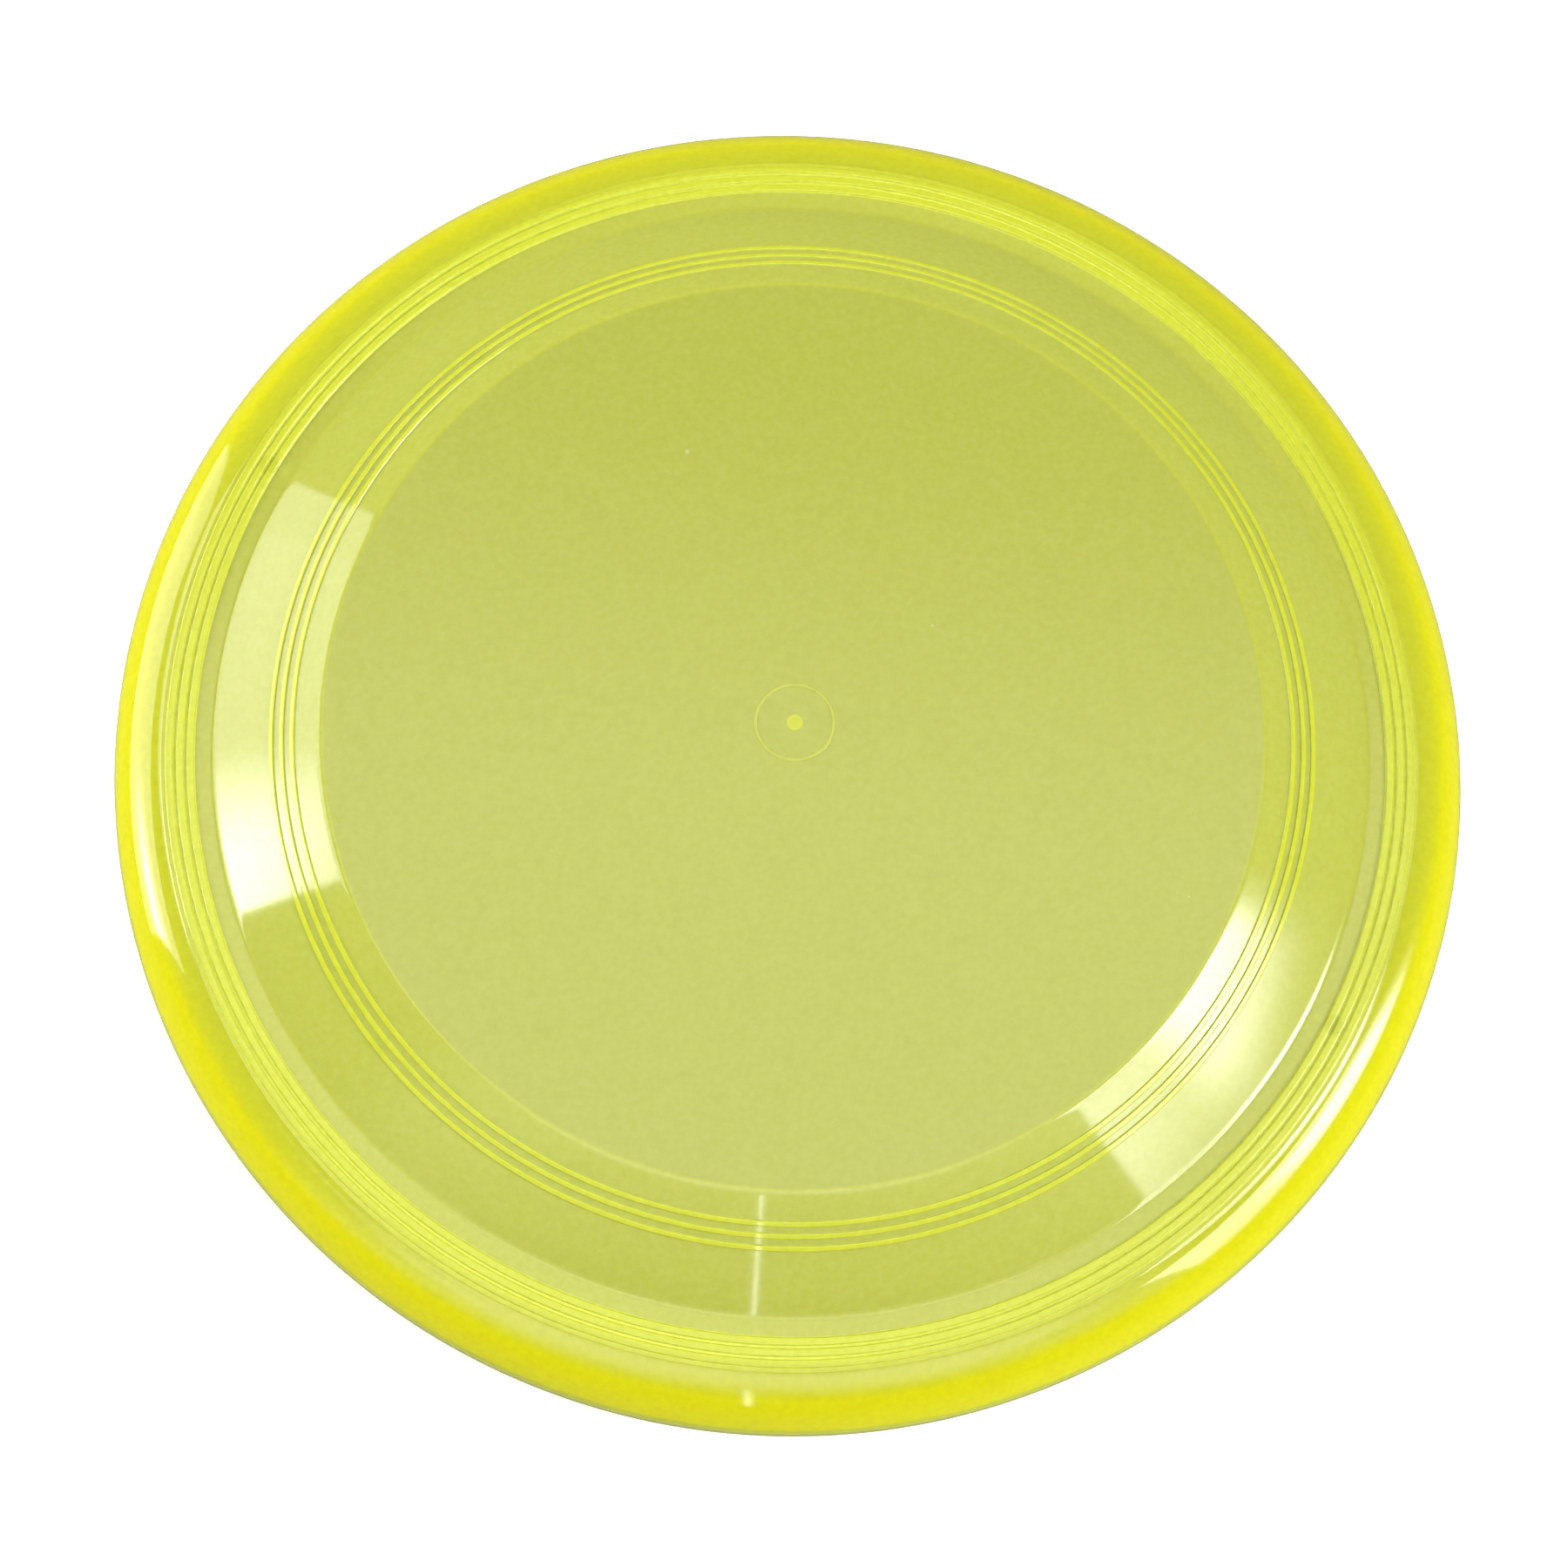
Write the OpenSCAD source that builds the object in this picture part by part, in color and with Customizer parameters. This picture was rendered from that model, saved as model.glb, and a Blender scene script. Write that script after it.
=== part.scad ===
// Flying disc: one closed moulding with a flat plate, a ribbed cone and shoulder,
// and a thick rim rounded into a beaded lip.
// The origin is the centre of the foot ring that the disc rests on, and +Z is up.
// All lengths are in millimetres and all angles in degrees.

/* [Overall] */
// Outer diameter, at the widest level of the rim
disc_d = 220; // [180:1:275]
// Height of the flat plate above the foot ring
disc_h = 27; // [21:0.5:34]
// Thickness of the plate, the cone and the shoulder
wall = 1.2; // [0.9:0.1:2]

/* [Rim] */
// Outer radius of the rim's section
rim_r = 10; // [8:0.5:12]
// Depth of the rim below its widest level
rim_drop = 6.2; // [4:0.1:8]
// Thickness of the rim
rim_wall = 2.4; // [1.8:0.1:3.5]
// How far outside the centre of its section the thick rim starts
rim_lead = 1.3; // [1:0.1:3]
// Diameter of the bead that ends the rim
lip_d = 3; // [2.5:0.1:4]
// Depth of the flat cut along the bottom of the bead, which makes the foot ring
foot_cut = 0.2; // [0.1:0.05:0.4]

/* [Shoulder] */
// Width of the plain strip between the cone and the first broad rib
strip_w = 3; // [1:0.1:6]
// Number of broad ribs
shoulder_ribs = 3; // [1:1:5]
// Width of a broad rib
shoulder_rib_w = 1.2; // [0.8:0.05:1.5]
// Height of a broad rib
shoulder_rib_h = 0.45; // [0.3:0.05:0.8]
// Width of the groove between two broad ribs
groove_w = 0.5; // [0.3:0.05:1]
// Width of the thin web between the last broad rib and the thick rim
web_w = 0.7; // [0.4:0.05:2]
// Drop of the shoulder across its whole width
shoulder_fall = 0.4; // [0:0.1:1]

/* [Cone] */
// Width of the sloping cone between the plate and the shoulder
cone_w = 18; // [14:0.5:22]
// Radius that rounds the creases on both sides of the cone
crease_r = 0.8; // [0.4:0.1:2]
// Number of fine ribs
cone_ribs = 3; // [1:1:5]
// Distance from the edge of the plate to the first fine rib
cone_rib_inset = 4.6; // [3:0.1:6]
// Distance between the centres of the fine ribs
cone_rib_pitch = 1.75; // [1.5:0.05:2.3]
// Width of a fine rib
cone_rib_w = 0.85; // [0.6:0.05:1.2]
// Height of a fine rib
cone_rib_h = 0.3; // [0.2:0.05:0.5]

/* [Moulding marks] */
// Diameter of the gate stub under the centre of the plate
gate_d = 2.4; // [1.5:0.1:4]
// Length of the gate stub below the plate
gate_h = 0.8; // [0.3:0.1:2]
// Diameter of the fine ring round the gate, on top of the plate
gate_ring_d = 12.4; // [8:0.2:20]
// Width of that ring
gate_ring_w = 0.5; // [0.3:0.1:1]
// Height of that ring
gate_ring_h = 0.08; // [0.05:0.01:0.2]
// Diameter of each ejector boss under the shoulder
boss_d = 3.3; // [2:0.1:4]
// Length of each ejector boss below the shoulder
boss_h = 1; // [0.5:0.1:2]
// Direction of the first boss, counted anticlockwise from +X
boss_angle = 158; // [0:1:179]

/* [Hidden] */
// Radii, from the rim inwards
rim_centre_r = disc_d / 2 - rim_r;
rim_start_r = rim_centre_r + rim_lead;
rib_pitch = shoulder_rib_w + groove_w;
shoulder_w = strip_w + shoulder_ribs * rib_pitch - groove_w + web_w;
shoulder_r = rim_start_r - shoulder_w;
first_rib_r = shoulder_r + strip_w + shoulder_rib_w / 2;
plate_r = shoulder_r - cone_w;

// Heights above the foot ring: the shoulder ends level with the top of the rim's section
rim_centre_h = rim_drop;
shoulder_h = rim_drop + rim_r + shoulder_fall;

// Slopes below the horizontal
cone_slope = atan((disc_h - shoulder_h) / cone_w);
shoulder_slope = atan(shoulder_fall / shoulder_w);

// The bead's centre lies in the middle of the rim's wall, and its cut foot lies at height 0
bead_orbit = rim_r - rim_wall / 2;
rim_end = -asin((rim_centre_h + foot_cut - lip_d / 2) / bead_orbit);

rib_round = 0.4; // share of a rib's height that its top corners are rounded by
corner_steps = 6; // straight steps in each rounded crease
$fn = 96;

function unit(v) = v / norm(v);

function polar(radius, angle) = radius * [cos(angle), sin(angle)];

// Height of the shoulder's top at a given radius
function shoulder_top(r) = shoulder_h - (r - shoulder_r) * tan(shoulder_slope);

// How far the underside of a bent wall lies from its outer corner
function mitre(slope_in, slope_out) =
    wall / cos((slope_out - slope_in) / 2)
    * [-sin((slope_in + slope_out) / 2), -cos((slope_in + slope_out) / 2)];

// Points of the round that replaces corner b between the lines to a and c
function crease(a, b, c) =
    let (
        to_a = unit(a - b),
        to_c = unit(c - b),
        half = acos(to_a * to_c) / 2,
        centre = b + unit(to_a + to_c) * crease_r / sin(half),
        middle = unit(b - centre),
        turn = 90 - half,
        side = sign(cross(middle, to_c)),
        start = atan2(middle[1], middle[0]) - side * turn
    )
    [for (i = [0 : corner_steps]) centre + polar(crease_r, start + side * 2 * turn * i / corner_steps)];

// The thin wall: half a section through the plate, the cone and the shoulder
module shell_section() {
    top = [
        [0, disc_h],
        [plate_r, disc_h],
        [shoulder_r, shoulder_h],
        [rim_start_r, shoulder_top(rim_start_r)]
    ];
    under = [
        [0, disc_h - wall],
        top[1] + mitre(0, cone_slope),
        top[2] + mitre(cone_slope, shoulder_slope),
        top[3] + mitre(shoulder_slope, shoulder_slope)
    ];
    polygon(concat(
        [top[0]], crease(top[0], top[1], top[2]), crease(top[1], top[2], top[3]), [top[3]],
        [under[3]], crease(under[3], under[2], under[1]), crease(under[2], under[1], under[0]), [under[0]]
    ));
}

// A rib's section, standing on y = 0 and rooted as deep as it is high
module rib_section(width, height) {
    corner = height * rib_round;
    translate([-width / 2, -height])
        square([width, 2 * height - corner]);
    translate([corner - width / 2, -height])
        square([width - 2 * corner, 2 * height]);
    for (side = [-1, 1])
        translate([side * (width / 2 - corner), height - corner])
            circle(corner);
}

module rib_sections() {
    for (i = [0 : cone_ribs - 1]) {
        along = cone_rib_inset + i * cone_rib_pitch;
        translate([plate_r + along, disc_h - along * tan(cone_slope)])
            rotate(-cone_slope)
                rib_section(cone_rib_w, cone_rib_h);
    }
    for (i = [0 : shoulder_ribs - 1]) {
        rib_r = first_rib_r + i * rib_pitch;
        translate([rib_r, shoulder_top(rib_r)])
            rotate(-shoulder_slope)
                rib_section(shoulder_rib_w, shoulder_rib_h);
    }
}

// The thick rim: a sector of a round wall that ends in a bead with a flat foot.
// Inside, a 45 degree slope takes the thin web to the full thickness.
module rim_section() {
    reach = 2 * rim_r;
    inner_r = rim_r - rim_wall;
    slope_foot = sqrt(inner_r ^ 2 - rim_lead ^ 2);
    translate([rim_centre_r, rim_centre_h])
        intersection() {
            difference() {
                circle(rim_r);
                circle(inner_r);
            }
            polygon([
                [0, 0],
                [rim_lead, slope_foot],
                [rim_lead - rim_wall, slope_foot + rim_wall],
                [0, reach],
                [reach, reach],
                polar(reach, rim_end)
            ]);
        }
    difference() {
        translate([rim_centre_r, rim_centre_h] + polar(bead_orbit, rim_end))
            circle(lip_d / 2);
        translate([rim_centre_r, -lip_d])
            square([reach, lip_d]);
    }
}

// The gate stub under the middle of the plate, and the fine ring round it on top
module gate_section() {
    translate([0, disc_h - wall - gate_h])
        square([gate_d / 2, gate_h + wall / 2]);
    translate([gate_ring_d / 2, disc_h])
        rib_section(gate_ring_w, gate_ring_h);
}

// Two ejector bosses, opposite each other under the first groove of the shoulder
module bosses() {
    boss_r = first_rib_r + rib_pitch / 2;
    for (turn = [0, 180])
        rotate(boss_angle + turn)
            translate([boss_r, 0, shoulder_top(boss_r) - wall - boss_h])
                cylinder(d = boss_d, h = boss_h + wall / 2);
}

module disc() {
    color([0.84, 0.87, 0.22]) {
        rotate_extrude() {
            shell_section();
            rib_sections();
            rim_section();
            gate_section();
        }
        bosses();
    }
}

disc();
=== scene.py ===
import math

import bpy
from mathutils import Matrix, Vector


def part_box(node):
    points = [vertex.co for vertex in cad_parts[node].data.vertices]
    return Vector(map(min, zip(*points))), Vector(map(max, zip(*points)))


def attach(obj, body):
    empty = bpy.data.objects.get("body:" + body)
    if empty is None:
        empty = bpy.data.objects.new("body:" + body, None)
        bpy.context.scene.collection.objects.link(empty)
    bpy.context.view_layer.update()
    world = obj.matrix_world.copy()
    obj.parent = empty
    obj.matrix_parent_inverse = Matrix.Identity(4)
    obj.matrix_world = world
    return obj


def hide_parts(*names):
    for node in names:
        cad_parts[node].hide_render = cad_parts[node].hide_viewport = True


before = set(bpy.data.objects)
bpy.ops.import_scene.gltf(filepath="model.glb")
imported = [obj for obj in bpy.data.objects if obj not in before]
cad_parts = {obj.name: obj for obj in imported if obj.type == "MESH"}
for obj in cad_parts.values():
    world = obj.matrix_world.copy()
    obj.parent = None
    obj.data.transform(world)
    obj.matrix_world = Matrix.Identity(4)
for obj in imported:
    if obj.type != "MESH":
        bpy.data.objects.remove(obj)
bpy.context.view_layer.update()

# A flying disc moulded in one piece from hazy yellow-green plastic.
# Lengths are in millimetres and angles in degrees until a mesh, a light or the camera is made.
MM = 0.001
cad_low, cad_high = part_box("disc")

# ---------------------------------------------------------------- sizes of the moulding

GATE_RING_D = 12.4
GATE_RING_W = 0.5
GATE_RING_H = 0.08
DISC_R = cad_high.x / MM
PLATE_H = cad_high.z / MM - GATE_RING_H

WALL = 1.2
CREASE_R = 0.8
CONE_W = 18
CONE_CROWN = 0.2
CONE_RIBS = 3
CONE_RIB_INSET = 4.6
CONE_RIB_PITCH = 1.75
CONE_RIB_W = 0.85
CONE_RIB_H = 0.3

SHOULDER_FALL = 0.4
STRIP_W = 3
SHOULDER_RIBS = 3
SHOULDER_RIB_W = 1.2
SHOULDER_RIB_H = 0.45
GROOVE_W = 0.5
WEB_W = 0.7

RIM_R = 10
RIM_DROP = 6.2
RIM_WALL = 2.4
RIM_LEAD = 1.3
LIP_D = 3
FOOT_CUT = 0.2

GATE_D = 2.4
GATE_H = 0.8
BOSS_D = 3.3
BOSS_H = 1
BOSS_ANGLE = 158

# Small rounds and drafts that the mould leaves
RIB_DRAFT = 14
RIB_FOOT_R = 0.1
RIB_TOP_SHARE = 0.4
EDGE_R = 0.15
BOSS_EDGE = 0.3
SINK_DEPTH = 0.03
SINK_D = 5

# Places worked out from the sizes
RIM_CENTRE = Vector((DISC_R - RIM_R, RIM_DROP))
RIM_START_R = RIM_CENTRE.x + RIM_LEAD
RIB_PITCH = SHOULDER_RIB_W + GROOVE_W
SHOULDER_W = STRIP_W + SHOULDER_RIBS * RIB_PITCH - GROOVE_W + WEB_W
SHOULDER_R = RIM_START_R - SHOULDER_W
FIRST_RIB_R = SHOULDER_R + STRIP_W + SHOULDER_RIB_W / 2
PLATE_R = SHOULDER_R - CONE_W
SHOULDER_H = RIM_DROP + RIM_R + SHOULDER_FALL
BOSS_R = FIRST_RIB_R + RIB_PITCH / 2
SHOULDER_SLOPE = math.degrees(math.atan(SHOULDER_FALL / SHOULDER_W))
BEAD_ORBIT = RIM_R - RIM_WALL / 2
RIM_END = -math.degrees(math.asin((RIM_DROP + FOOT_CUT - LIP_D / 2) / BEAD_ORBIT))

# Fineness of the mesh
COLUMNS = 288
BOSS_COLUMNS = 24
BOSS_RING_STEP = 0.18
RIM_STEP = 4
RIM_STEP_INSIDE = 6
RIM_SETBACK = 1
BEAD_STEP = 16
BEAD_GAP_OUTSIDE = 6
BEAD_GAP_INSIDE = 8
FILLET_STEP = 22
CONE_STEP = 1.8
LONG_STEP = 4

# Colour of the plastic for several thicknesses, and the thicknesses that its ramp spans
PLASTIC_COLOURS = [
    (1.2, (0.44, 0.47, 0.075)),
    (1.28, (0.5, 0.535, 0.066)),
    (1.38, (0.495, 0.53, 0.086)),
    (1.5, (0.49, 0.525, 0.075)),
    (1.65, (0.6, 0.645, 0.045)),
    (2.4, (0.51, 0.54, 0.03)),
    (3.2, (0.67, 0.65, 0.004)),
]
THINNEST = 1
THICKEST = 4
BOSS_TINT = 0.5

# Painted light: the base colour is lightened in the shoulder's grooves, on the lower flanks of its
# ribs and a little beside them. This lifts the shade in the grooves and stands in for light that
# comes out of the ribs. Its colour, how much of it shows beside the ribs, and the share of their
# height up to which it shows on them
PAINTED_LIGHT_COLOUR = (0.7, 0.74, 0.085)
STRIP_PAINTED_LIGHT = 0.2
PAINTED_LIGHT_TOP = 0.8

# Uneven pigment, and dust in the cells of a pattern whose random number is above DUST_FREE
MOTTLE_SCALE = 900
MOTTLE_DARK = (0.96, 0.96, 0.86)
MOTTLE_PALE = (1.04, 1.04, 1.14)
DUST_SCALE = 90
DUST_FREE = 0.6
DUST_SIZE = 0.035
DUST_STRENGTH = 0.22
DUST_COLOUR = (0.85, 0.85, 0.6)


# ---------------------------------------------------------------- outline of the section

def polar(radius, angle):
    turn = math.radians(angle)
    return Vector((radius * math.cos(turn), radius * math.sin(turn)))


def arc(centre, radius, start, end, step):
    """Points of an arc from one angle to another, about a step apart."""
    count = max(1, round(abs(end - start) / step))
    return [centre + polar(radius, start + (end - start) * i / count) for i in range(count + 1)]


def fillet(before, corner, after, radius):
    """Points of the round that replaces a corner of an outline."""
    to_before = (before - corner).normalized()
    to_after = (after - corner).normalized()
    half = to_before.angle(to_after) / 2
    centre = corner + (to_before + to_after).normalized() * radius / math.sin(half)
    middle = math.degrees(math.atan2(corner.y - centre.y, corner.x - centre.x))
    side = 1 if (corner - centre).cross(to_after) > 0 else -1
    turn = side * (90 - math.degrees(half))
    return arc(centre, radius, middle - turn, middle + turn, FILLET_STEP)


def rounded(corners):
    """The outline through (point, radius) corners. A corner of radius 0 stays sharp."""
    points = [corners[0][0]]
    for (before, _), (corner, radius), (after, _) in zip(corners, corners[1:], corners[2:]):
        points += fillet(before, corner, after, radius) if radius else [corner]
    return points + [corners[-1][0]]


def plain(points):
    return [(p, 0) for p in points]


def cone_top(r):
    """Height of the cone's top, which bows up a little between its creases."""
    share = (r - PLATE_R) / CONE_W
    return PLATE_H - share * (PLATE_H - SHOULDER_H) + 4 * CONE_CROWN * share * (1 - share)


def cone_slope(r):
    share = (r - PLATE_R) / CONE_W
    fall = (PLATE_H - SHOULDER_H - 4 * CONE_CROWN * (1 - 2 * share)) / CONE_W
    return math.degrees(math.atan(fall))


def shoulder_top(r):
    return SHOULDER_H - (r - SHOULDER_R) * math.tan(math.radians(SHOULDER_SLOPE))


def mitre(slope_in, slope_out):
    """From the outer corner of a bent wall to its inner corner."""
    middle = math.radians(slope_in + slope_out) / 2
    reach = WALL / math.cos(math.radians(slope_out - slope_in) / 2)
    return Vector((-math.sin(middle), -math.cos(middle))) * reach


def rib(foot, slope, width, height):
    """Corners of a rib that stands on a point of a falling surface."""
    fall = math.radians(slope)
    along = Vector((math.cos(fall), -math.sin(fall)))
    out = Vector((math.sin(fall), math.cos(fall)))
    lean = height * math.tan(math.radians(RIB_DRAFT)) / 2
    foot_r = min(RIB_FOOT_R, height / 3)
    return [
        (foot - along * (width / 2 + lean), foot_r),
        (foot - along * (width / 2 - lean) + out * height, height * RIB_TOP_SHARE),
        (foot + along * (width / 2 - lean) + out * height, height * RIB_TOP_SHARE),
        (foot + along * (width / 2 + lean), foot_r),
    ]


def cone_span(first, last, depth=0):
    """Plain points along the cone between two radii, at a depth below its top."""
    count = round(abs(last - first) / CONE_STEP)
    points = []
    for i in range(count + 1):
        r = first + (last - first) * i / count
        points.append(Vector((r, cone_top(r))) - polar(depth, 90 - cone_slope(r)))
    return plain(points)


def top_corners():
    """The upper side, from the middle of the plate to the start of the rim."""
    gate_r = GATE_D / 2
    corners = plain(Vector((r, PLATE_H)) for r in (0, gate_r - EDGE_R, gate_r + EDGE_R))
    corners += rib(Vector((GATE_RING_D / 2, PLATE_H)), 0, GATE_RING_W, GATE_RING_H)
    corners.append((Vector((PLATE_R, PLATE_H)), CREASE_R))
    first = PLATE_R + CONE_RIB_INSET
    last = first + (CONE_RIBS - 1) * CONE_RIB_PITCH
    corners += cone_span(PLATE_R + CREASE_R, first - CONE_RIB_W)
    for i in range(CONE_RIBS):
        r = first + i * CONE_RIB_PITCH
        corners += rib(Vector((r, cone_top(r))), cone_slope(r), CONE_RIB_W, CONE_RIB_H)
    corners += cone_span(last + CONE_RIB_W, SHOULDER_R - CREASE_R)
    corners.append((Vector((SHOULDER_R, SHOULDER_H)), CREASE_R))
    for i in range(SHOULDER_RIBS):
        r = FIRST_RIB_R + i * RIB_PITCH
        corners += rib(Vector((r, shoulder_top(r))), SHOULDER_SLOPE, SHOULDER_RIB_W, SHOULDER_RIB_H)
    corners.append((Vector((RIM_START_R, shoulder_top(RIM_START_R))), EDGE_R / 2))
    return corners


def rim_points():
    """The rim and its bead, from the top of the rim down and round to the slope inside."""
    inner_r = RIM_R - RIM_WALL
    bead = RIM_CENTRE + polar(BEAD_ORBIT, RIM_END)
    cut = math.degrees(math.acos(bead.y / (LIP_D / 2)))
    start = math.degrees(math.acos(RIM_LEAD / RIM_R)) - RIM_SETBACK
    inner_end = math.degrees(math.acos(RIM_LEAD / inner_r))
    return (
        arc(RIM_CENTRE, RIM_R, start, RIM_END + BEAD_GAP_OUTSIDE, RIM_STEP)
        + arc(bead, LIP_D / 2, RIM_END - BEAD_STEP, -90 + cut, BEAD_STEP)
        + arc(bead, LIP_D / 2, -90 - cut, RIM_END - 180 + BEAD_STEP, BEAD_STEP)
        + arc(RIM_CENTRE, inner_r, RIM_END + BEAD_GAP_INSIDE, inner_end, RIM_STEP_INSIDE)
    )


def under_corners():
    """The lower side, from the slope inside the rim back to the middle of the plate."""
    slope_foot = rim_points()[-1]
    shoulder_under = mitre(SHOULDER_SLOPE, SHOULDER_SLOPE)
    shoulder_mitre = mitre(cone_slope(SHOULDER_R), SHOULDER_SLOPE)
    web = Vector((RIM_START_R, shoulder_top(RIM_START_R))) + shoulder_under
    climb = (web.y - slope_foot.y) / (1 - math.tan(math.radians(SHOULDER_SLOPE)))
    web_foot = slope_foot + Vector((-climb, climb))
    gate_h = PLATE_H - WALL
    return [
        (web_foot, EDGE_R * 2),
        (Vector((SHOULDER_R, SHOULDER_H)) + shoulder_mitre, CREASE_R),
        *cone_span(SHOULDER_R - 2 * CREASE_R, PLATE_R + CREASE_R, WALL),
        (Vector((PLATE_R, PLATE_H)) + mitre(0, cone_slope(PLATE_R)), CREASE_R),
        (Vector((GATE_D / 2, gate_h)), EDGE_R),
        (Vector((GATE_D / 2, gate_h - GATE_H)), EDGE_R),
        (Vector((0, gate_h - GATE_H)), 0),
    ]


def even_out(points):
    """Adds a point near each end of a long step that meets a short one, so that shading stays
    flat along the long one."""
    spaced = [points[0]]
    for i in range(1, len(points)):
        start, end = points[i - 1], points[i]
        length = (end - start).length
        before = (start - points[i - 2]).length if i > 1 else length
        after = (points[i + 1] - end).length if i + 1 < len(points) else length
        if length > LONG_STEP * before:
            spaced.append(start.lerp(end, before / length))
        if length > LONG_STEP * after:
            spaced.append(end.lerp(start, after / length))
        spaced.append(end)
    return spaced


def boss_rings(points):
    """Splits the underside beneath the ribs into fine rings, from which the bosses rise."""
    reach = BOSS_D / 2 + BOSS_EDGE
    split = [points[0]]
    for start, end in zip(points, points[1:]):
        if start.x > BOSS_R + reach and end.x < BOSS_R - reach:
            count = math.ceil(2 * reach / BOSS_RING_STEP)
            for i in range(count + 1):
                r = BOSS_R + reach - 2 * reach * i / count
                split.append(start.lerp(end, (start.x - r) / (start.x - end.x)))
        split.append(end)
    return split


def outline():
    """The upper side out from the axis, the rim, and the lower side back to the axis."""
    rim = rim_points()
    top = rounded(top_corners() + plain(rim[:1]))
    under = rounded(plain(rim[-2:]) + under_corners())
    return even_out(top), even_out(rim), even_out(boss_rings(even_out(under)))


# ---------------------------------------------------------------- the moulding's mesh

def columns():
    """Angles of the mesh's columns, even round the disc and finer at the two bosses."""
    angles = {360 * i / COLUMNS for i in range(COLUMNS)}
    reach = math.degrees((BOSS_D / 2 + BOSS_EDGE) / BOSS_R)
    for boss in (BOSS_ANGLE, BOSS_ANGLE + 180):
        angles = {a for a in angles if abs(a - boss) > reach}
        angles |= {boss + reach * (2 * i / BOSS_COLUMNS - 1) for i in range(BOSS_COLUMNS + 1)}
    return sorted(angles)


def smooth_step(x):
    x = min(1, max(0, x))
    return x * x * (3 - 2 * x)


def boss_gap(spot):
    """From a place in plan to the middle of the nearer boss."""
    middle = polar(BOSS_R, BOSS_ANGLE)
    return min((spot - middle).length, (spot + middle).length)


def boss_share(spot):
    """1 on a boss, 0 away from it."""
    return smooth_step((BOSS_D / 2 - boss_gap(spot)) / BOSS_EDGE + 0.5)


def sink_share(spot):
    """How deep the plastic has sunk above a boss, from 0 to 1."""
    return smooth_step(1 - boss_gap(spot) / (SINK_D / 2))


def height_at(points, r):
    """Height of an outline at a radius, where the outline runs outwards."""
    for start, end in zip(points, points[1:]):
        if start.x <= r <= end.x and end.x > start.x:
            return start.y + (end.y - start.y) * (r - start.x) / (end.x - start.x)
    return points[-1].y


def run_shares(path):
    """How far each point lies along a path, as a share of the path's length."""
    runs = [0]
    for start, end in zip(path, path[1:]):
        runs.append(runs[-1] + (end - start).length)
    return [run / runs[-1] for run in runs]


def painted_light_at(point):
    """How much painted light lightens the colour at a point of the outline: most in the grooves and
    on the lower flanks of the shoulder's ribs, a little on the rest of the shoulder."""
    if not SHOULDER_R < point.x < RIM_START_R:
        return 0
    reach = SHOULDER_RIB_W / 2 + SHOULDER_RIB_H / 3
    last_rib_r = FIRST_RIB_R + (SHOULDER_RIBS - 1) * RIB_PITCH
    if not FIRST_RIB_R - reach < point.x < last_rib_r + reach:
        return STRIP_PAINTED_LIGHT
    return float(point.y < shoulder_top(point.x) + SHOULDER_RIB_H * PAINTED_LIGHT_TOP)


def depth_below(top, rim, under):
    """A function that tells how much plastic lies straight below a radius of the upper side. In
    the wall of the rim it falls evenly to nothing at the widest point."""
    widest = max(range(len(rim)), key=lambda i: rim[i].x)
    upper = top + rim[1:widest + 1]
    lower = [p for p in rim[widest:] if p.y > RIM_DROP] + under
    lower.reverse()
    return lambda r: height_at(upper, r) - height_at(lower, r)


def turned_faces(rows, count):
    """Faces of a surface round the axis. Its points are rows of the same count, then an upper
    pole and a lower pole."""
    upper_pole, lower_pole = rows * count, rows * count + 1
    last = (rows - 1) * count
    faces = []
    for row in range(0, last, count):
        for j in range(count):
            k = (j + 1) % count
            faces.append((row + j, row + count + j, row + count + k, row + k))
    for j in range(count):
        k = (j + 1) % count
        faces.append((upper_pole, j, k))
        faces.append((lower_pole, last + k, last + j))
    return faces


def unrolled(runs, count):
    """Texture place of each corner of those faces, round the axis and along the section."""
    spans = [(j / count, (j + 1) / count) for j in range(count)]
    places = []
    for here, below in zip(runs[1:-2], runs[2:-1]):
        for start, end in spans:
            places += [(start, here), (start, below), (end, below), (end, here)]
    for start, end in spans:
        middle = (start + end) / 2
        places += [(middle, 0), (start, runs[1]), (end, runs[1])]
        places += [(middle, 1), (end, runs[-2]), (start, runs[-2])]
    return places


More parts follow.
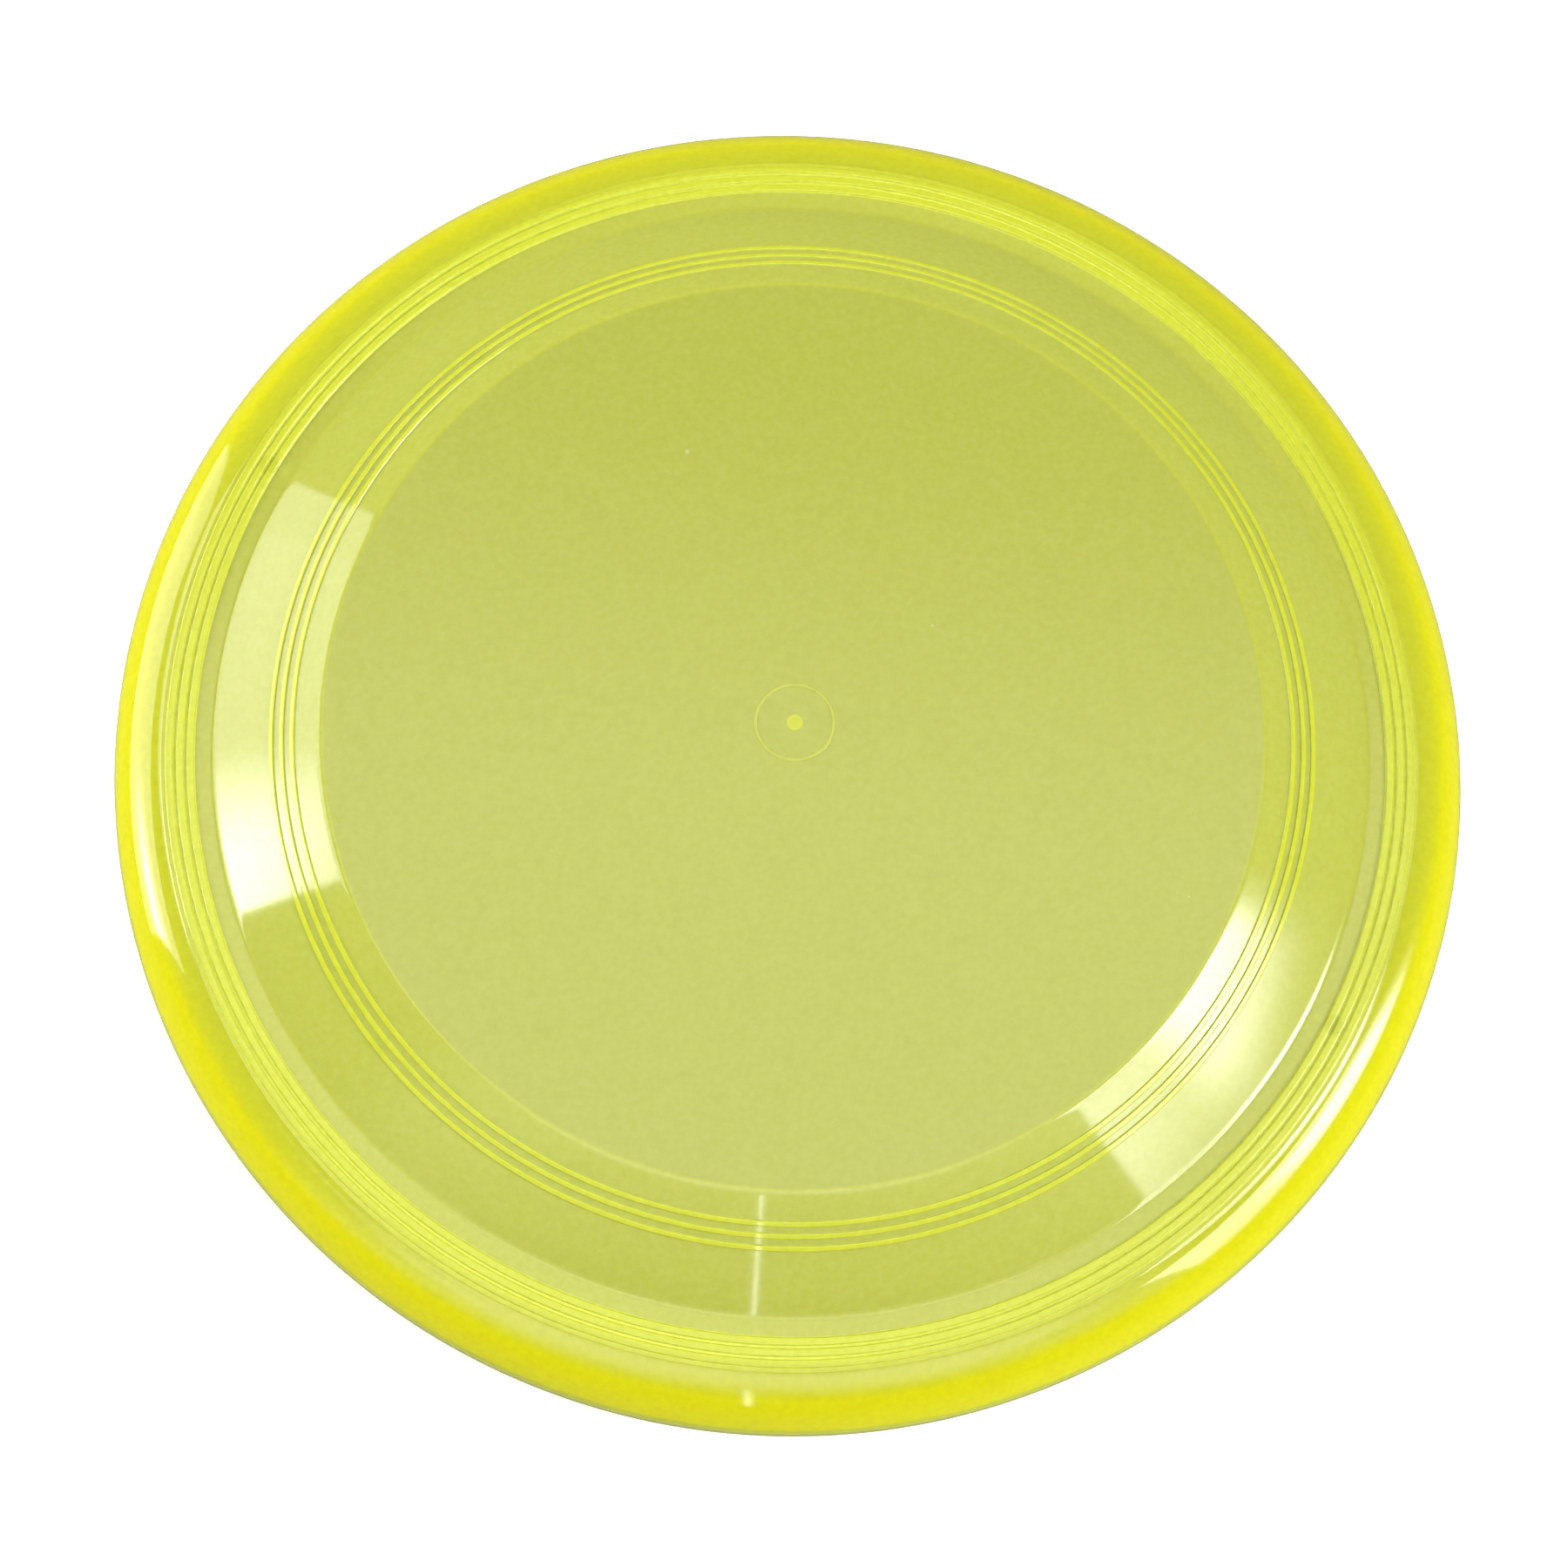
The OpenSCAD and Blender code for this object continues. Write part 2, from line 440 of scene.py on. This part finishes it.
def make_disc():
    """The moulding, with the thickness of the plastic and the painted light of its shoulder's
    grooves kept at each of its points.
    """
    top, rim, under = outline()
    # The rim repeats the last point of the top, and the underside the last two of the rim.
    path = top + rim[1:] + under[2:]
    under_start = len(top) + len(rim) - 1
    depth_at = depth_below(top, rim, under)
    angles = columns()
    verts, depth, glow = [], [], []
    for i, p in enumerate(path[1:-1], 1):
        beneath = i >= under_start
        wall = depth_at(p.x)
        for angle in angles:
            spot = polar(p.x, angle)
            boss = boss_share(spot)
            drop = BOSS_H * boss if beneath else SINK_DEPTH * sink_share(spot)
            verts.append((spot.x * MM, spot.y * MM, (p.y - drop) * MM))
            depth.append(wall + BOSS_TINT * boss)
            # Painted light on the upper side's grooves and rib flanks, none on the bosses or the
            # underside
            glow.append(0 if beneath else painted_light_at(p) * (1 - boss))
    for pole in (path[0], path[-1]):
        verts.append((0, 0, pole.y * MM))
        depth.append(depth_at(0))
        glow.append(0)

    mesh = bpy.data.meshes.new("moulding")
    mesh.from_pydata(verts, [], turned_faces(len(path) - 2, len(angles)))
    mesh.attributes.new("depth", "FLOAT", "POINT").data.foreach_set("value", depth)
    # The glow attribute holds painted light for the base colour
    mesh.attributes.new("glow", "FLOAT", "POINT").data.foreach_set("value", glow)
    places = unrolled(run_shares(path), len(angles))
    layer = mesh.uv_layers.new(name="OFBake")
    layer.data.foreach_set("uv", [value for place in places for value in place])
    mesh.shade_smooth()
    mesh.update()
    piece = bpy.data.objects.new("moulding", mesh)
    bpy.context.scene.collection.objects.link(piece)
    return piece


# ---------------------------------------------------------------- materials

def new_material(name):
    material = bpy.data.materials.new(name)
    material.use_nodes = True
    tree = material.node_tree
    return material, tree.nodes, tree.links, tree.nodes["Principled BSDF"]


def mapped(nodes, links, value, start, end, low=0, high=1, curve="LINEAR"):
    """Carries a value over from one range to another, and holds it within that one."""
    node = nodes.new("ShaderNodeMapRange")
    node.interpolation_type = curve
    node.inputs["From Min"].default_value = start
    node.inputs["From Max"].default_value = end
    node.inputs["To Min"].default_value = low
    node.inputs["To Max"].default_value = high
    links.new(value, node.inputs["Value"])
    return node.outputs["Result"]


def calculated(nodes, links, operation, first, second):
    """What a math node makes of two values."""
    node = nodes.new("ShaderNodeMath")
    node.operation = operation
    links.new(first, node.inputs[0])
    links.new(second, node.inputs[1])
    return node.outputs["Value"]


def blended(nodes, links, colour, other, amount):
    """Mixes an amount of a fixed colour into a colour."""
    node = nodes.new("ShaderNodeMix")
    node.data_type = "RGBA"
    factor, first, second = node.inputs[0], node.inputs[6], node.inputs[7]
    second.default_value = (*other, 1)
    links.new(amount, factor)
    links.new(colour, first)
    return node.outputs[2]


def ramp_by_depth(nodes, links):
    """Colour of the plastic by how thick it is, in millimetres."""
    depth = nodes.new("ShaderNodeAttribute")
    depth.attribute_name = "depth"
    ramp = nodes.new("ShaderNodeValToRGB")
    while len(ramp.color_ramp.elements) < len(PLASTIC_COLOURS):
        ramp.color_ramp.elements.new(1)
    for element, (thickness, colour) in zip(ramp.color_ramp.elements, PLASTIC_COLOURS):
        element.position = (thickness - THINNEST) / (THICKEST - THINNEST)
        element.color = (*colour, 1)
    share = mapped(nodes, links, depth.outputs["Fac"], THINNEST, THICKEST)
    links.new(share, ramp.inputs["Fac"])
    return ramp.outputs["Color"]


def with_painted_light(nodes, links, colour):
    """Paints light into a colour: lightens it in the shoulder's grooves and beside its ribs."""
    glow = nodes.new("ShaderNodeAttribute")
    glow.attribute_name = "glow"
    return blended(nodes, links, colour, PAINTED_LIGHT_COLOUR, glow.outputs["Fac"])


def mottled(nodes, links, place, colour):
    """Varies a colour a little, the way pigment is spread unevenly in the plastic."""
    noise = nodes.new("ShaderNodeTexNoise")
    noise.inputs["Scale"].default_value = MOTTLE_SCALE
    noise.inputs["Detail"].default_value = 3
    links.new(place, noise.inputs["Vector"])
    tint = nodes.new("ShaderNodeMapRange")
    tint.data_type = "FLOAT_VECTOR"
    from_low, from_high, to_low, to_high = tint.inputs[7:11]
    from_low.default_value = (0.3, 0.3, 0.3)
    from_high.default_value = (0.7, 0.7, 0.7)
    to_low.default_value = MOTTLE_DARK
    to_high.default_value = MOTTLE_PALE
    links.new(noise.outputs["Fac"], tint.inputs["Vector"])
    product = nodes.new("ShaderNodeVectorMath")
    product.operation = "MULTIPLY"
    links.new(colour, product.inputs[0])
    links.new(tint.outputs["Vector"], product.inputs[1])
    return product.outputs["Vector"]


def dusty(nodes, links, place, colour):
    """Scatters a few pale specks of dust over a colour."""
    cells = nodes.new("ShaderNodeTexVoronoi")
    cells.inputs["Scale"].default_value = DUST_SCALE
    links.new(place, cells.inputs["Vector"])
    pick = nodes.new("ShaderNodeSeparateColor")
    links.new(cells.outputs["Color"], pick.inputs["Color"])
    size = mapped(nodes, links, pick.outputs["Red"], DUST_FREE, 1, 0, DUST_SIZE)
    speck = calculated(nodes, links, "LESS_THAN", cells.outputs["Distance"], size)
    amount = mapped(nodes, links, speck, 0, 1, 0, DUST_STRENGTH)
    return blended(nodes, links, colour, DUST_COLOUR, amount)


def disc_plastic():
    """Hazy plastic with a moulded gloss, lighter or deeper in colour with its thickness, and with
    painted light in the shoulder's grooves.
    """
    material, nodes, links, shader = new_material("disc_plastic")
    place = nodes.new("ShaderNodeTexCoord").outputs["Object"]
    # Painted light lightens the thickness colour in the shoulder's grooves and beside its ribs
    colour = with_painted_light(nodes, links, ramp_by_depth(nodes, links))
    colour = mottled(nodes, links, place, colour)
    links.new(dusty(nodes, links, place, colour), shader.inputs["Base Color"])
    shader.inputs["Roughness"].default_value = 0.06
    shader.inputs["IOR"].default_value = 1.49
    shader.inputs["Subsurface Weight"].default_value = 0.4
    shader.inputs["Subsurface Radius"].default_value = (1, 1, 0.3)
    shader.inputs["Subsurface Scale"].default_value = 0.0015
    return material


def floor_paper():
    """White paper that glows a little, so that the disc casts no dark shadow on it."""
    material, nodes, links, shader = new_material("floor_paper")
    shader.inputs["Base Color"].default_value = (0.95, 0.95, 0.95, 1)
    shader.inputs["Roughness"].default_value = 0.9
    shader.inputs["Specular IOR Level"].default_value = 0
    shader.inputs["Emission Color"].default_value = (1, 1, 1, 1)
    shader.inputs["Emission Strength"].default_value = 0.35
    return material


# ---------------------------------------------------------------- stage, lights and camera

def make_floor():
    mesh = bpy.data.meshes.new("floor")
    half = 1.2
    mesh.from_pydata(
        [(-half, -half, 0), (half, -half, 0), (half, half, 0), (-half, half, 0)], [], [(0, 1, 2, 3)]
    )
    floor = bpy.data.objects.new("floor", mesh)
    bpy.context.scene.collection.objects.link(floor)
    mesh.materials.append(floor_paper())
    floor.visible_glossy = False


def add_light(name, width, height, radiance, place, facing, lit):
    """A rectangular light of a given radiance, at a place, that shines along a direction. It
    either lights what is matt or shows in what is glossy."""
    light = bpy.data.lights.new(name, "AREA")
    light.shape = "RECTANGLE"
    light.size = width
    light.size_y = height
    light.energy = radiance * math.pi * width * height
    lamp = bpy.data.objects.new(name, light)
    lamp.location = place
    lamp.rotation_mode = "QUATERNION"
    lamp.rotation_quaternion = (-facing).to_track_quat("Z", "Y")
    lamp.visible_camera = False
    lamp.visible_diffuse = lit == "matt"
    lamp.visible_glossy = lit == "glossy"
    bpy.context.scene.collection.objects.link(lamp)
    return lamp


def window(name, left, right, sill, top, distance, radiance, lit):
    """An upright light that faces the disc. left and right are directions, sill and top are
    heights as angles above the floor straight ahead."""
    azimuth = (left + right) / 2
    ahead = Vector((*polar(1, azimuth), 0))
    low = distance * math.tan(math.radians(sill))
    high = distance * math.tan(math.radians(top))
    width = 2 * distance * math.tan(math.radians(left - right) / 2)
    place = ahead * distance + Vector((0, 0, (low + high) / 2))
    return add_light(name, width, high - low, radiance, place, -ahead, lit)


def soften(lamp, left, right, sill, top):
    """Fades a light in from its edges, over shares of its width and height."""
    lamp.data.use_nodes = True
    nodes, links = lamp.data.node_tree.nodes, lamp.data.node_tree.links
    place = nodes.new("ShaderNodeNewGeometry")
    axes = nodes.new("ShaderNodeSeparateXYZ")
    links.new(place.outputs["Parametric"], axes.inputs["Vector"])
    edges = (("X", 0, right), ("X", 1, 1 - left), ("Y", 0, sill), ("Y", 1, 1 - top))
    fades = [
        mapped(nodes, links, axes.outputs[axis], edge, inside, curve="SMOOTHSTEP")
        for axis, edge, inside in edges
    ]
    strength = fades[0]
    for fade in fades[1:]:
        strength = calculated(nodes, links, "MULTIPLY", strength, fade)
    links.new(strength, nodes["Emission"].inputs["Strength"])


def make_world():
    """White behind the disc. Reflections see a dim room above a paler table."""
    world = bpy.data.worlds.new("studio")
    world.use_nodes = True
    bpy.context.scene.world = world
    nodes, links = world.node_tree.nodes, world.node_tree.links
    background = nodes["Background"]
    background.inputs["Color"].default_value = (1, 1, 1, 1)
    place = nodes.new("ShaderNodeTexCoord")
    axes = nodes.new("ShaderNodeSeparateXYZ")
    links.new(place.outputs["Generated"], axes.inputs["Vector"])
    table, room, blur = 0.3, 0.15, 0.05
    seen = mapped(nodes, links, axes.outputs["Z"], -blur, blur, table, room)
    path = nodes.new("ShaderNodeLightPath")
    strength = calculated(nodes, links, "MAXIMUM", path.outputs["Is Camera Ray"], seen)
    links.new(strength, background.inputs["Strength"])


def make_lights():
    """A ceiling and a window on each side, as daylight for matt surfaces and as what glossy ones
    mirror. Panels that overlap stand at distances of their own, so that none hides another."""
    down = Vector((0, 0, -1))
    add_light("ceiling", 3.0, 4.5, 0.7, Vector((0, -0.5, 3.1)), down, "matt")
    sheen = add_light("ceiling_sheen", 3.4, 4.5, 1.9, Vector((0, -0.95, 3)), down, "glossy")
    soften(sheen, 0.2, 0.2, 0.45, 0.12)
    window("left_daylight", 189.5, 144, 1, 44.5, 2.4, 6, "matt")
    window("right_daylight", 368, 325, 22, 57, 2.4, 8.4, "matt")
    window("left_window", 189.5, 149, 1, 44.5, 2.2, 4.4, "glossy")
    window("curtain", 149, 144, 1, 44.5, 2.2, 3.6, "glossy")
    glow = window("left_glow", 189.5, 170, 9, 36, 2, 16, "glossy")
    soften(glow, 0.02, 0.75, 0.35, 0.6)
    pane = window("right_window", 368, 325, 19, 57, 2.2, 8, "glossy")
    soften(pane, 0.25, 0.02, 0.3, 0.05)
    glow = window("right_glow", 364, 336, 23, 50, 2, 13, "glossy")
    soften(glow, 0.25, 0.4, 0.25, 0.1)
    haze = window("near_haze", 340, 210, 30, 75, 1.8, 1.2, "glossy")
    soften(haze, 0.3, 0.3, 0.2, 0.3)
    window("doorway", 273.6, 273.2, 17, 47, 2, 16, "glossy")


def make_camera():
    """A camera tilted from straight above, rolled, and aimed a little beside the middle."""
    distance, tilt, roll, lens = 625, 16.04, 6.36, 87.65
    aim_x, aim_down = -0.6, 4.3
    turn = math.radians(tilt)
    back = Vector((0, -math.sin(turn), math.cos(turn)))
    up = Vector((0, math.cos(turn), math.sin(turn)))
    centre = Vector((0, 0, RIM_DROP))
    camera = bpy.data.cameras.new("camera")
    camera.lens = lens
    camera.sensor_width = 36
    camera.clip_start = 0.01
    camera.clip_end = 100
    rig = bpy.data.objects.new("camera", camera)
    place = centre + back * distance
    aim = centre + Vector((aim_x, 0, 0)) - up * aim_down
    rig.rotation_mode = "QUATERNION"
    rig.location = place * MM
    look = (place - aim).to_track_quat("Z", "Y")
    rig.rotation_quaternion = look @ Matrix.Rotation(math.radians(roll), 3, "Z").to_quaternion()
    bpy.context.scene.collection.objects.link(rig)
    bpy.context.scene.camera = rig


# ---------------------------------------------------------------- the scene

make_camera()
disc = make_disc()
disc.data.materials.append(disc_plastic())
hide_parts("disc")
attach(disc, "root")
make_floor()
make_lights()
make_world()
bpy.context.scene.view_settings.view_transform = "Standard"
